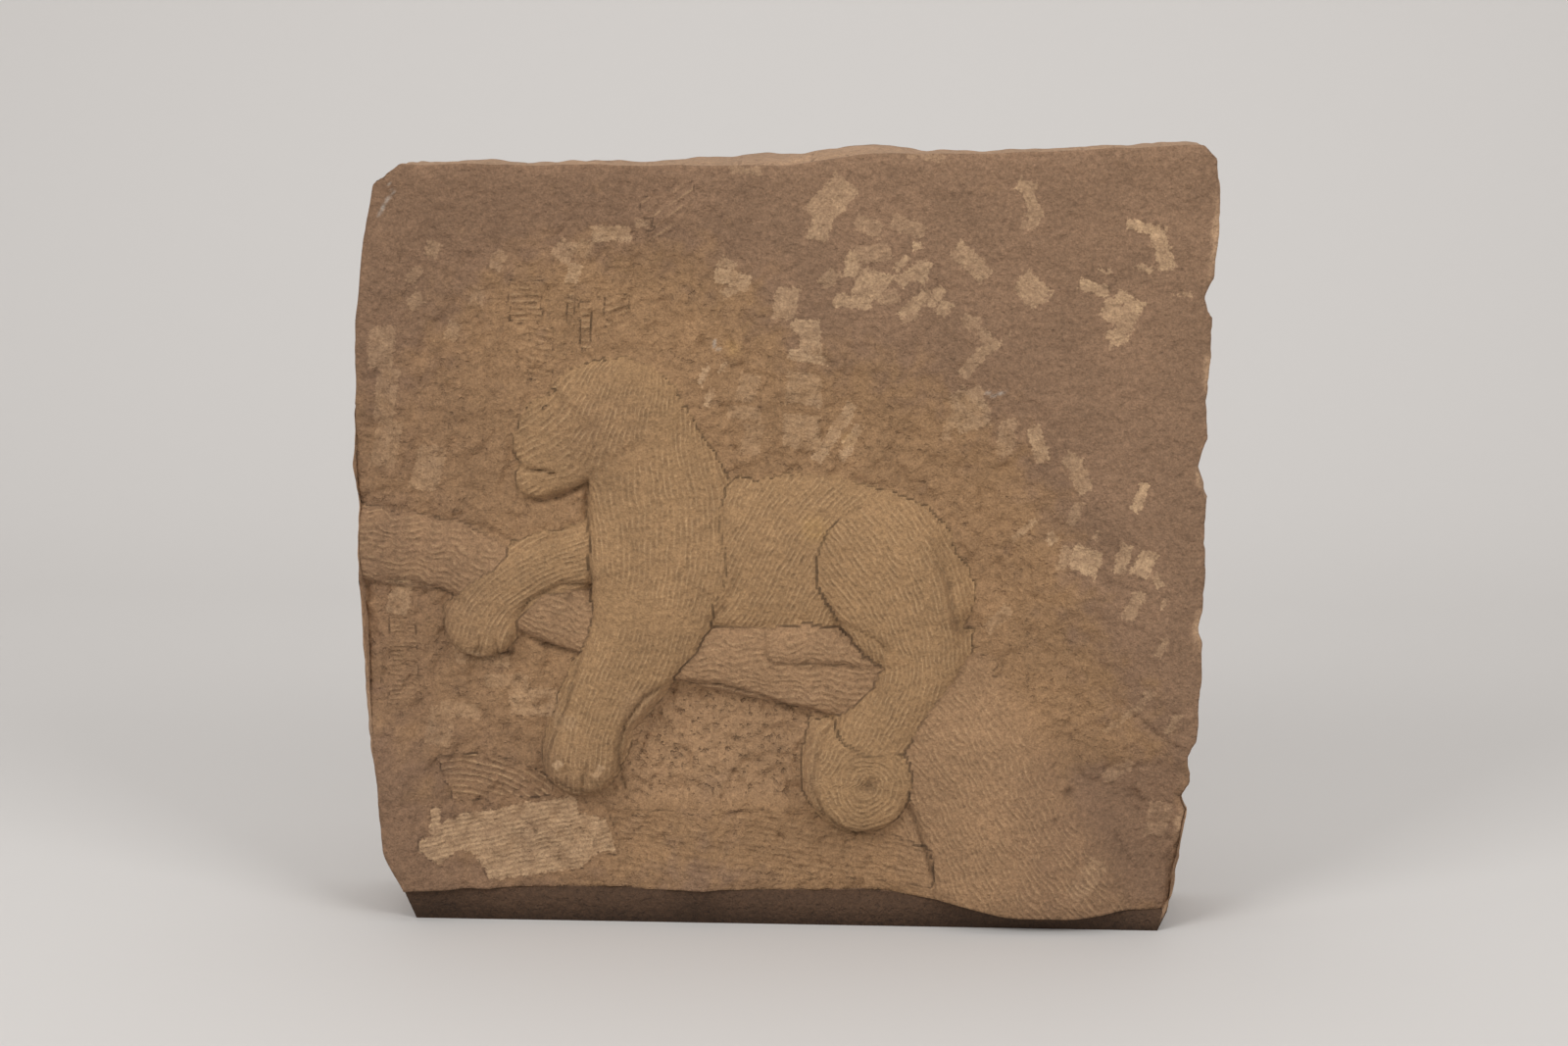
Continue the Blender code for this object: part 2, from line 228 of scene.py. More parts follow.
def soft_max(a, b, join=1.0):
    gap = np.maximum(0.0, 1.0 - np.abs(a - b) / (2.0 * join))
    return np.maximum(a, b) + 0.5 * join * gap * gap


outside, tops, sides, lengths = {}, {}, {}, {}
for name, (crest, fall, wall, stations) in FORMS.items():
    away, half, extra, gone, side, upward = along(stations, x, z)
    share = np.clip((away + half) / half, 0.0, 1.0)
    inside = crest + extra - fall * (1.0 - np.sqrt(1.0 - share ** 2 * 0.98))
    if wall == WALL_SLOPE:
        wall = WALL_SLOPE + (UPPER_SLOPE - WALL_SLOPE) * smooth_step(-0.3, 0.6, upward)
    wall_foot = crest + extra - fall * (1.0 - math.sqrt(0.02)) - wall * np.maximum(0.0, away)
    tops[name] = np.where(away < 0, inside, wall_foot)
    outside[name], sides[name], lengths[name] = away, side, gone

nearest = np.maximum(0.0, np.min(list(outside.values()), axis=0))
dish = smooth_step(26, 105, nearest)
ground = (-13.0 + 5.5 * smooth_step(190, 290, z)) * (1.0 - dish)
window = smooth_step(0, 12, np.minimum.reduce([x + 92, 22 - x, z - 62, 136 - z]))
ground = ground - 4.0 * window + 1.2 * rough(x * 0.034, z * 0.034, 4.0)
pecked = rough(x * 0.13, 12.0, z * 0.13) + 0.6 * rough(x * 0.31, 15.0, z * 0.31)
ground = ground + pecked * (1.3 - 0.8 * dish + 0.6 * window)

# Facets of the flat chisel on the cut-back ground: cells of 7 to 18 mm, each a little tilted
facet = np.zeros_like(x)
for place in np.flatnonzero(on_face):
    spot = Vector((x[place] / 11.0, 0.0, z[place] / 15.0))
    _, centres = noise.voronoi(spot)
    tilt = noise.cell_vector(centres[0] * 7.3)
    lean = (spot - centres[0])
    facet[place] = (tilt.x - 0.5) * lean.x + (tilt.z - 0.5) * lean.z + 0.25 * (tilt.y - 0.5)
ground = ground + facet * (3.4 - 2.6 * dish)

height = ground.copy()
for name in FORMS:
    height = soft_max(height, tops[name])

# Cuts of the chisel along a line of points: half width, depth, points
CUTS = [
    (1.5, 3.6, [(-142, 249), (-131, 248), (-120, 246)]),
    (1.4, 1.2, [(-115, 268), (-107, 270), (-98, 272)]),
    (2.0, 1.9, [(-104, 247), (-105, 231), (-103, 207), (-104, 186), (-102, 175)]),
    (2.2, 2.6, [(-136, 232), (-128, 230), (-116, 234), (-104, 242)]),
    (2.4, 1.4, [(-25, 195), (-29, 185), (-34, 174), (-42, 166)]),
    (3.0, 0.9, [(34, 213), (27, 198), (22, 180), (20, 171)]),
    (1.5, 1.8, [(20, 171), (36, 166), (48, 160), (57, 150)]),
    (3.0, 1.0, [(-104, 242), (-97, 248), (-91, 254), (-83, 260), (-71, 262)]),
    (3.4, 2.4, [(80, 200), (85, 189), (87, 178), (90, 164), (97, 161)]),
    (2.6, 3.0, [(64, 71), (70, 57), (76, 39), (79, 25)]),
    (2.0, 2.6, [(24, 115), (17, 100), (13, 80), (21, 62), (37, 51), (54, 58)]),
    (2.2, 3.0, [(-63, 134), (-76, 126), (-86, 112), (-90, 97), (-89, 80), (-86, 68)]),
    (2.0, 2.6, [(-109, 148), (-117, 121), (-124, 105), (-129, 90), (-126, 83)]),
    (1.8, 2.4, [(-124, 80), (-115, 75), (-105, 73)]),
    (1.5, 1.9, [(-117, 78), (-118, 87), (-116, 93)]),
    (1.5, 1.9, [(-109, 75), (-108, 83), (-106, 90)]),
    (1.4, 1.6, [(-163, 149), (-163, 158)]),
    (1.4, 1.6, [(-154, 148), (-154, 158)]),
    (1.4, 1.5, [(-146, 150), (-147, 158)]),
    (2.0, 3.0, [(-63, 134), (-37, 133), (-14, 127), (-1, 121), (12, 120), (23, 114)]),
    (2.0, 2.6, [(-139, 157), (-128, 152), (-108, 148)]),
    (1.2, 1.2, [(-217, 236), (-196, 234), (-185, 235)]),
    (1.8, 2.0, [(-216, 188), (-200, 187), (-182, 182), (-170, 176)]),
    (1.8, 1.6, [(-220, 229), (-191, 222), (-172, 218), (-157, 216), (-144, 207)]),
    (2.2, 3.0, [(-176, 147), (-165, 145), (-146, 148)]),
    (1.8, 1.8, [(-112, 218), (-124, 212), (-135, 206)]),
    (2.0, 2.4, [(-102, 186), (-119, 187), (-136, 178), (-144, 168)]),
    (1.0, 1.2, [(-80, 378), (-78, 366), (-81, 353), (-86, 343), (-84, 331), (-83, 323)]),
    (1.2, 1.2, [(-1, 147), (14, 146), (28, 146), (52, 143)]),
    (1.0, 1.0, [(-7, 154), (8, 163), (29, 159), (53, 146)]),
    (1.4, 1.6, [(179, 122), (190, 115), (195, 110), (205, 104), (211, 102)]),
    (1.2, 1.4, [(159, 89), (177, 88), (195, 93)]),
    (1.2, 1.4, [(174, 57), (181, 43), (188, 32)]),
    (1.0, 1.0, [(-85, 71), (-73, 73), (-62, 72)]),
    (1.0, 1.2, [(27, 361), (39, 358), (52, 356)]),
    (1.0, 1.0, [(107, 282), (107, 266)]),
    (0.9, 1.0, [(0, 301), (18, 299)]),
    (0.9, 1.0, [(0, 280), (18, 278)]),
    (0.9, 1.0, [(-172, 131), (-155, 132)]),
    (0.9, 1.0, [(-172, 123), (-155, 123)]),
    (1.0, 1.0, [(-139, 126), (-135, 133)]),
    (1.0, 1.2, [(-151, 110), (-149, 100)]),
]


def line_distance(points, x, z):
    """Distance from a line of points, and the share of its length gone at the nearest place."""
    steps = [math.dist(a, b) for a, b in zip(points, points[1:])]
    best, share_best, gone = None, None, 0.0
    for (ax, az), (bx, bz), length in zip(points, points[1:], steps):
        share = np.clip(((x - ax) * (bx - ax) + (z - az) * (bz - az)) / length ** 2, 0.0, 1.0)
        away = np.hypot(x - ax - share * (bx - ax), z - az - share * (bz - az))
        total = (gone + share * length) / sum(steps)
        if best is None:
            best, share_best = away, total
        else:
            share_best = np.where(away < best, total, share_best)
            best = np.minimum(away, best)
        gone += length
    return best, share_best


# Painted shade in the creases: each cut is also darkened in colour, patchily, where shade falls in it
painted_crease_shade = np.zeros_like(x)
crease_shade_patchiness = np.clip(0.8 + 0.9 * rough(x * 0.21, 31.0, z * 0.21), 0.3, 1.2)
for half, cut_depth, points in CUTS:
    away, share = line_distance(points, x, z)
    taper = smooth_step(0.0, 0.12, share) * (1.0 - smooth_step(0.88, 1.0, share))
    wedge = bump(0.0, half, away) * (0.25 + 0.75 * taper)
    height = height - cut_depth * wedge
    darkness = min(0.65, 0.24 * (cut_depth - 0.6))
    painted_crease_shade = np.maximum(painted_crease_shade, wedge ** 1.5 * darkness * crease_shade_patchiness)

# ---------------------------------------------------------------------------------------------------------------
# Fine work: fur combed with a claw of 2.6 mm pitch, bark cut in waves of 3.0 and 3.5 mm, and claw marks of 3.4 mm.
# Each lot of strokes follows a few guide strokes of x, z and direction in degrees, as the carver's tool went.
# ---------------------------------------------------------------------------------------------------------------
FUR_PITCH = 2.6
BARK_PITCH = 3.5
TRUNK_PITCH = 3.0
CLAW_PITCH = 3.4

FORE_GUIDES = [
    (-95, 290, 229), (-103, 278, 227), (-112, 270, 200), (-118, 264, 190), (-123, 259, 190), (-131, 255, 190),
    (-134, 264, 203), (-136, 275, 215), (-123, 280, 203), (-123, 290, 200), (-108, 293, 205), (-93, 272, 238),
    (-97, 262, 235), (-103, 254, 240), (-89, 259, 262), (-83, 254, 285), (-98, 244, 262), (-92, 301, 180),
    (-82, 303, 170), (-69, 298, 320), (-81, 288, 270), (-87, 288, 250), (-72, 283, 288), (-66, 279, 300),
    (-57, 265, 299), (-46, 255, 302), (-39, 242, 304), (-32, 232, 306), (-70, 262, 292), (-78, 249, 282),
    (-62, 244, 290), (-98, 228, 268), (-93, 208, 268), (-83, 229, 272), (-73, 218, 272), (-57, 224, 275),
    (-52, 208, 270), (-42, 219, 278), (-32, 216, 275), (-29, 198, 262), (-34, 185, 245), (-83, 187, 268),
    (-63, 187, 266), (-47, 187, 258), (-94, 165, 258), (-78, 166, 260), (-58, 168, 252), (-45, 169, 240),
    (-84, 150, 248), (-97, 133, 248), (-105, 112, 250), (-79, 136, 238), (-92, 115, 248), (-115, 125, 250),
    (-117, 101, 255), (-111, 90, 265), (-100, 90, 270), (-95, 80, 272)]
FAR_LEG_GUIDES = [
    (-108, 192, 183), (-110, 205, 195), (-122, 186, 208), (-135, 177, 217), (-145, 180, 212), (-132, 196, 208),
    (-156, 169, 225), (-166, 159, 250), (-156, 157, 262), (-175, 159, 250), (-147, 162, 258), (-105, 181, 180),
    (-117, 178, 195)]
BODY_GUIDES = [
    (-21, 219, 240), (-1, 224, 236), (24, 222, 228), (-22, 193, 250), (-1, 198, 240), (14, 188, 240),
    (-11, 177, 245), (14, 167, 252), (-31, 174, 235), (35, 234, 215), (14, 240, 225), (-11, 234, 238),
    (-27, 229, 255)]
HAUNCH_GUIDES = [
    (40, 222, 318), (36, 201, 312), (27, 188, 318), (30, 171, 325), (45, 188, 314), (50, 209, 306), (60, 207, 298),
    (72, 194, 284), (79, 182, 272), (66, 173, 287), (53, 167, 303), (58, 153, 304), (73, 157, 268), (82, 146, 262),
    (66, 136, 250), (58, 125, 242), (51, 114, 235), (35, 114, 245), (63, 154, 290), (30, 212, 300)]
TRUNK_GUIDES = [
    (66, 112, 318), (82, 93, 302), (97, 88, 296), (77, 72, 302), (103, 67, 290), (93, 45, 300), (124, 40, 306),
    (145, 29, 310), (156, 19, 315), (107, 104, 300), (51, 125, 320), (88, 28, 285), (134, 67, 300), (82, 109, 312),
    (61, 93, 318)]

names = list(FORMS)
all_tops = np.stack([tops[name] for name in names] + [ground])
leader = np.argmax(all_tops, axis=0)
runner_up = np.partition(all_tops, -2, axis=0)[-2]
lead = np.clip((np.max(all_tops, axis=0) - runner_up) / 0.8, 0.0, 1.0)
owner = {name: on_face & (leader == number) for number, name in enumerate(names)}
fore = owner["skull"] | owner["chin"] | owner["chest"] | owner["near foreleg"]
fur_areas = fore | owner["far foreleg"] | owner["body"] | owner["hind leg"] | owner["hind paw"]
bark_areas = owner["branch left"] | owner["branch middle"] | owner["knot"] | owner["trunk"]

columns = np.round(across * COLUMNS).astype(int)
rows = np.round(up * ROWS).astype(int)
face_index = np.empty((COLUMNS + 1, ROWS + 1), int)
face_index[columns[on_face], rows[on_face]] = np.flatnonzero(on_face)


def combed(lots):
    """Distance across the strokes in mm: its lines of equal value run as the guides of each lot say.

    The least squares fit is found by conjugate gradients, and no lot is tied to another."""
    lot = np.full(face_index.shape, -1)
    way_x, way_z = np.zeros(face_index.shape), np.zeros(face_index.shape)
    grid_x, grid_z = x[face_index], z[face_index]
    for number, (area, guides) in enumerate(lots):
        here = area[face_index]
        lot[here] = number
        px, pz = grid_x[here], grid_z[here]
        lean_x, lean_z = np.zeros_like(px), np.zeros_like(px)
        for guide_x, guide_z, degrees in guides:
            weight = ((px - guide_x) ** 2 + (pz - guide_z) ** 2 + 15.0) ** -1.5
            lean_x += weight * math.cos(math.radians(degrees))
            lean_z += weight * math.sin(math.radians(degrees))
        size = np.hypot(lean_x, lean_z) + 1e-9
        way_x[here], way_z[here] = -lean_z / size, lean_x / size
    tie_u = (lot[1:] == lot[:-1]) & (lot[1:] >= 0)
    tie_v = (lot[:, 1:] == lot[:, :-1]) & (lot[:, 1:] >= 0)
    gain_u = tie_u * 0.5 * ((way_x[1:] + way_x[:-1]) * np.diff(grid_x, axis=0)
                            + (way_z[1:] + way_z[:-1]) * np.diff(grid_z, axis=0))
    gain_v = tie_v * 0.5 * ((way_x[:, 1:] + way_x[:, :-1]) * np.diff(grid_x, axis=1)
                            + (way_z[:, 1:] + way_z[:, :-1]) * np.diff(grid_z, axis=1))

    def spread(along_u, along_v):
        total = np.zeros(face_index.shape)
        total[1:] += along_u
        total[:-1] -= along_u
        total[:, 1:] += along_v
        total[:, :-1] -= along_v
        return total

    value = np.zeros(face_index.shape)
    left_over = spread(gain_u, gain_v)
    heading = left_over.copy()
    power = (left_over ** 2).sum()
    for _ in range(400):
        moved = spread(tie_u * np.diff(heading, axis=0), tie_v * np.diff(heading, axis=1)) + 1e-9 * heading
        step = power / (heading * moved).sum()
        value += step * heading
        left_over -= step * moved
        fresh_power = (left_over ** 2).sum()
        if fresh_power < 1e-6:
            break
        heading = left_over + fresh_power / power * heading
        power = fresh_power
    result = np.zeros_like(x)
    result[face_index] = value
    return result


guided = combed([(fore, FORE_GUIDES), (owner["far foreleg"], FAR_LEG_GUIDES), (owner["body"], BODY_GUIDES),
                 (owner["hind leg"], HAUNCH_GUIDES), (owner["trunk"], TRUNK_GUIDES)])
slow = rough(x * 0.09, 0.0, z * 0.09)
medium = rough(x * 0.17, 3.0, z * 0.17)
quick_noise = rough(x * 0.33, 6.0, z * 0.33)

stroke = np.zeros_like(x)
for name in ("branch left", "branch middle", "knot"):
    wave = 1.0 * np.sin(lengths[name] / 21.0 * 2 * math.pi + 2.0 * slow)
    stroke = np.where(owner[name], (sides[name] + wave + 2.2 * slow + 1.3 * medium) / BARK_PITCH, stroke)
stroke = np.where(owner["trunk"], (guided + 2.4 * slow + 1.0 * medium) / TRUNK_PITCH, stroke)
curl = np.hypot(x - 43, (z - 80) * 0.9) + 0.008 * np.degrees(np.arctan2(z - 80, x - 43))
stroke = np.where(owner["hind paw"], (curl + 2.2 * slow + 0.9 * medium) / FUR_PITCH, stroke)
lie = guided + 1.0 * slow + 0.5 * medium + 0.2 * quick_noise
stroke = np.where(fur_areas & ~owner["hind paw"], lie / FUR_PITCH, stroke)

patchy = np.clip(0.75 + 0.9 * medium + 0.5 * quick_noise, 0.1, 1.2)
fur = np.where(fur_areas, lead * patchy, 0.0)
bark = np.where(bark_areas, lead * np.clip(patchy + 0.1, 0.2, 1.2), 0.0)
bald = bump(0, 18, np.hypot(x + 76, (z - 301) * 1.4)) + bump(0, 15, np.hypot(x + 122, (z - 239) * 1.5))
bald = bald + 0.8 * bump(0, 26, np.hypot(x + 98, z - 175))
fur = fur * (1.0 - np.clip(bald, 0, 1))
figure = fur_areas.astype(float)
timber = bark_areas.astype(float)
trunk_fade = 1.0 - smooth_step(-2, 22, outside["trunk"])
bark = np.where(owner["trunk"], bark * trunk_fade, bark)
timber = np.where(owner["trunk"], trunk_fade, timber)

# Rows of claw marks, as ladders: corners, direction across the rungs, pitch, strength
LADDERS = [
    ([(-143, 347), (-127, 347), (-127, 326), (-144, 326)], 90, CLAW_PITCH, 0.9),
    ([(-113, 345), (-110, 345), (-111, 326), (-114, 326)], 90, CLAW_PITCH, 1.0),
    ([(-107, 336), (-102, 336), (-102, 312), (-107, 312)], 90, CLAW_PITCH, 1.0),
    ([(-140, 323), (-121, 323), (-122, 296), (-141, 296)], 80, CLAW_PITCH, 0.6),
    ([(-94, 340), (-82, 340), (-82, 323), (-94, 323)], 110, CLAW_PITCH, 0.8),
    ([(-212, 166), (-198, 166), (-199, 120), (-213, 119)], 90, FUR_PITCH, 0.7),
    ([(-188, 91), (-156, 92), (-126, 79), (-127, 69), (-157, 67), (-179, 67)], 360, CLAW_PITCH, 1.0),
    ([(-97, 63), (-53, 60), (-1, 62), (30, 55), (77, 44), (77, 25), (-1, 24), (-85, 28)], 82, CLAW_PITCH, 0.55),
    ([(-192, 63), (-186, 63), (-186, 55), (-173, 60), (-157, 61), (-140, 65), (-113, 69), (-112, 59), (-97, 56), (-92, 37),
      (-103, 38), (-110, 29), (-146, 24), (-160, 23), (-167, 36), (-177, 40), (-187, 32), (-198, 40), (-197, 46), (-191, 48)], 100, FUR_PITCH, 0.6),
    ([(-75, 389), (-49, 401), (-46, 392), (-60, 368), (-70, 366)], 125, 4.5, 0.7),
]


def inside_polygon(corners, x, z):
    """Signed distance to a closed line of corners, positive inside."""
    within = np.zeros(x.shape, bool)
    for (ax, az), (bx, bz) in zip(corners, corners[1:] + corners[:1]):
        if az != bz:
            within ^= ((az > z) != (bz > z)) & (x < (bx - ax) * (z - az) / (bz - az) + ax)
    away, _ = line_distance(corners + corners[:1], x, z)
    return np.where(within, away, -away)


claw = np.zeros_like(x)
for corners, degrees, pitch, power in LADDERS:
    within = inside_polygon(corners, x, z) + 1.2 * medium
    here = on_face & (within > -1.0) & ~fur_areas
    turn = math.radians(degrees)
    across_rungs = x * math.cos(turn) + z * math.sin(turn) if degrees < 360 else np.hypot(x + 180, z - 10)
    stroke = np.where(here, (across_rungs + 0.8 * slow) / pitch, stroke)
    claw = np.where(here, 1.2 * power * np.clip((within + 0.5), 0.0, 1.0) * patchy, claw)
    bark = np.where(here, 0.0, bark)
pale_patch = inside_polygon(LADDERS[8][0], x, z)

# Small pits: x, z, radius, depth
PITS = [
    (-113, 250, 1.6, 1.2), (44, 80, 4.5, 2.2), (150, 76, 3.0, 3.0), (143, 62, 2.0, 1.8), (-115, 179, 2.6, 2.0),
    (-122, 88, 2.6, -1.3), (-101, 83, 2.6, -1.3), (-113, 82, 5.0, -0.9), (-103, 78, 5.0, -0.9),
    (-123, 82, 3.5, -0.8), (-165, 150, 2.4, 1.6), (-154, 148, 2.4, 1.6), (-147, 150, 2.0, 1.4)]
for pit_x, pit_z, radius, pit_depth in PITS:
    well = bump(0.0, radius * 1.4, np.hypot(x - pit_x, z - pit_z))
    height = height - pit_depth * well
    # Painted shade in the pits: each sunk pit is darkened in colour too
    if pit_depth > 0:
        painted_crease_shade = np.maximum(painted_crease_shade, 0.5 * well)

# Pale fresh marks of the flat chisel: x, z, length, width, turn in degrees, strength
MARKS = [
    (23, 390, 25.0, 15.6, 52, 0.55), (18, 378, 17.7, 11.4, 80, 0.60), (42, 377, 15.6, 8.3, -20, 0.35),
    (62, 377, 18.7, 8.3, -15, 0.35), (44, 363, 18.7, 10.4, 15, 0.40), (34, 357, 13.5, 8.8, 85, 0.80),
    (44, 347, 15.6, 17.7, 72, 0.75), (34, 338, 7.3, 19.8, 86, 0.75), (22, 350, 10.4, 7.3, 60, 0.45),
    (67, 367, 4.7, 4.7, 10, 1.00), (59, 358, 10.4, 4.2, 60, 0.70), (62, 351, 11.4, 6.8, 40, 0.75),
    (69, 354, 12.5, 8.8, 72, 0.75), (66, 337, 19.8, 6.8, 50, 0.80), (76, 341, 12.5, 6.2, 60, 0.70),
    (81, 335, 8.3, 6.8, 60, 0.80), (63, 331, 10.4, 6.2, 30, 0.40), (52, 341, 11.4, 8.3, 20, 0.40),
    (0, 337, 17.7, 12.5, 86, 0.60), (10, 325, 15.6, 7.8, 3, 0.80), (12, 317, 11.4, 10.4, 3, 0.70),
    (11, 309, 20.3, 5.7, -3, 1.00), (9, 292, 18.7, 17.7, 0, 0.45), (8, 269, 19.8, 18.7, 0, 0.45),
    (-28, 349, 18.7, 8.8, -10, 0.85), (-29, 343, 10.4, 5.2, 35, 0.60), (-30, 357, 9.4, 5.7, -15, 0.60),
    (-43, 299, 12.5, 3.1, 70, 0.80), (-33, 303, 8.8, 2.6, 55, 0.70), (-40, 287, 11.4, 3.6, 76, 0.70),
    (-20, 292, 15.6, 10.4, 80, 0.35), (-22, 279, 17.7, 7.3, 0, 0.35), (-18, 265, 16.6, 10.4, 85, 0.30),
    (25, 269, 36.4, 6.8, 63, 0.60), (33, 263, 21.8, 4.7, 70, 0.65), (32, 265, 6.2, 4.7, 50, 1.00),
    (87, 280, 31.2, 4.7, 76, 0.40), (-21, 405, 16.6, 4.7, 0, 0.35), (71, 412, 18.7, 3.6, 0, 0.35),
    (122, 397, 10.4, 7.3, -20, 0.60), (124, 390, 17.7, 6.8, -60, 0.65), (126, 383, 8.8, 7.8, -40, 0.60),
    (123, 378, 8.3, 4.7, 10, 0.35), (94, 359, 22.9, 10.4, -38, 0.60), (125, 345, 16.6, 13.5, -38, 0.60),
    (134, 341, 8.3, 2.1, 55, 0.80), (157, 346, 16.6, 6.2, -12, 1.00), (162, 355, 6.2, 2.6, -5, 0.90),
    (182, 356, 9.9, 3.1, -5, 0.60), (181, 377, 16.6, 5.7, -8, 1.00), (191, 365, 20.8, 8.8, -68, 0.80),
    (175, 339, 15.6, 6.8, -25, 1.00), (170, 332, 19.8, 11.4, -25, 0.65), (169, 321, 10.4, 9.4, 20, 0.70),
    (202, 343, 9.9, 2.1, 5, 0.70), (95, 328, 7.3, 9.4, 80, 0.45), (104, 319, 13.5, 6.8, -45, 0.50),
    (98, 309, 22.9, 6.8, 55, 0.50), (113, 321, 9.4, 1.6, 50, 0.60), (95, 282, 21.8, 18.7, -68, 0.55),
    (114, 268, 19.8, 8.8, 88, 0.40), (130, 265, 19.8, 7.8, -65, 0.75), (148, 256, 9.4, 8.3, -25, 0.55),
    (153, 246, 13.5, 9.4, -60, 0.55), (183, 238, 15.6, 6.2, 78, 0.95), (150, 228, 14.6, 6.2, 80, 0.40),
    (124, 218, 18.7, 3.6, 48, 0.55), (138, 214, 6.8, 6.8, 50, 0.70), (161, 217, 5.7, 3.1, 65, 0.50),
    (156, 203, 15.6, 14.6, -15, 1.00), (145, 204, 13.5, 5.7, 80, 0.50), (175, 205, 15.6, 7.3, 80, 0.80),
    (186, 203, 14.6, 10.4, 66, 0.95), (193, 194, 8.3, 4.7, -50, 0.70), (181, 180, 17.7, 7.3, 75, 0.50),
    (197, 182, 8.3, 3.1, 75, 0.65), (111, 169, 17.7, 6.8, 50, 0.35), (196, 158, 11.4, 4.2, 72, 0.50),
    (203, 116, 13.5, 4.7, 72, 0.55), (178, 118, 26.0, 4.2, 50, 0.40), (-90, 372, 20.3, 8.3, 8, 0.70),
    (-74, 377, 8.8, 4.2, 5, 0.40), (-114, 363, 11.4, 10.4, 60, 0.50), (-110, 351, 11.4, 7.3, 80, 0.60),
    (-104, 364, 9.4, 8.3, 70, 0.35), (-149, 358, 10.4, 6.8, 75, 0.35), (-160, 339, 10.4, 7.3, 80, 0.30),
    (-182, 364, 8.8, 7.3, 70, 0.35), (-192, 350, 10.4, 5.7, 70, 0.30), (-192, 337, 8.3, 7.3, 40, 0.35),
    (-173, 321, 10.4, 7.8, 75, 0.35), (-210, 313, 22.9, 13.5, 88, 0.35), (-209, 287, 29.1, 11.4, 85, 0.30),
    (-189, 248, 25.0, 15.6, 80, 0.35), (-210, 261, 26.0, 13.5, 80, 0.30), (-135, 121, 28.0, 16.0, 5, 0.40),
    (-163, 145, 30.0, 9.0, 0, 0.35), (-150, 132, 24.0, 8.0, 4, 0.30), (-186, 107, 20.0, 14.0, 84, 0.25),
    (-206, 178, 20.0, 12.0, 80, 0.40), (-118, 112, 14.0, 8.0, 20, 0.25), (-176, 116, 22.0, 9.0, 2, 0.30),
    (-122, 90, 6.5, 5.0, 60, 0.80), (-100, 86, 7.0, 4.5, 60, 0.80), (198, 62, 20.0, 12.0, 85, 0.25),
    (176, 88, 18.0, 7.0, 40, 0.30), (188, 128, 14.0, 5.0, 60, 0.35), (160, 30, 24.0, 12.0, 60, 0.25)]

fresh = np.where(on_face, pale_patch, -6.0)
strength = np.where(pale_patch > -6.0, 0.75, 0.0)
comb = claw.copy()
for mark_x, mark_z, length, width, degrees, power in MARKS:
    turn = math.radians(degrees)
    run = (x - mark_x) * math.cos(turn) + (z - mark_z) * math.sin(turn)
    slant = -(x - mark_x) * math.sin(turn) + (z - mark_z) * math.cos(turn) + 0.10 * run
    inside = np.minimum(length / 2 - np.abs(run), width / 2 - np.abs(slant))
    better = on_face & (inside > fresh) & (inside > -6.0)
    fresh = np.where(better, inside, fresh)
    strength = np.where(better, power, strength)
    mine = better & (inside > -0.8)
    stroke = np.where(mine & ~fur_areas & ~bark_areas, (slant + 1.2 * medium + 0.8 * quick_noise) / FUR_PITCH, stroke)
    comb = np.where(mine, 0.16 * np.clip(inside + 0.8, 0.0, 1.0), comb)
    height = height - np.where(on_face, 0.5 * power * smooth_step(-0.6, 1.0, inside) * (0.6 + run / length), 0.0)
strength = strength * np.clip(0.85 + 0.6 * medium, 0.4, 1.1)

# Old weathered face of the block, left where the ground wasn't cut back, and pits where it was pecked away
old_corner = inside_polygon([(150, 88), (211, 99), (204, 14), (168, 17), (160, 40), (153, 58)], x, z)
weathered = smooth_step(0.10, 0.80, dish + 0.35 * slow + 0.25 * medium)
weathered = np.maximum(weathered, smooth_step(-4, 4, old_corner + 4 * medium))
weathered = np.where(on_face, weathered, 1.0)
soil = 1.0 - smooth_step(-225, -110, x)
soil = soil + (1.0 - smooth_step(60, 130, z)) * (1.0 - smooth_step(-150, -60, x) + smooth_step(100, 150, x))
soil = soil + 0.8 * smooth_step(340, 380, z) * (1.0 - smooth_step(-80, 20, x))
soil = soil + 0.5 * bump(0, 50, np.hypot(x + 100, z - 270))
soil = np.clip(soil, 0.0, 1.0) * np.clip(1.0 + 0.5 * slow, 0.5, 1.2)
ochre = 0.9 * bump(0, 11, np.hypot(x - 15, z - 219)) + bump(0, 5, np.hypot(x - 32, z - 265))
ochre = ochre + 0.5 * bump(0, 8, np.hypot(x + 28, z - 313))
ochre = ochre * np.clip(0.8 + 1.2 * medium, 0.0, 1.2)
chalk = np.zeros_like(x)
chalky = 0.5 * np.clip(0.5 + 1.5 * quick_noise, 0.0, 1.0)
for points in ([(-203, 397), (-201, 392), (-205, 389), (-209, 381)], [(-37, 317), (-37, 313), (-33, 311)],
               [(101, 292), (107, 290), (113, 292)]):
    away, _ = line_distance(points, x, z)
    chalk = np.maximum(chalk, np.where(on_face, chalky * (1.0 - smooth_step(0.0, 1.1, away)), 0.0))
pecks = np.clip(0.40 + 0.5 * window + 0.5 * slow, 0.0, 1.0) * (1 - 0.6 * weathered)
pitted = np.where(on_face & ~fur_areas & ~bark_areas, pecks, 0.10)
pitted = np.where(on_face, pitted, 0.5)

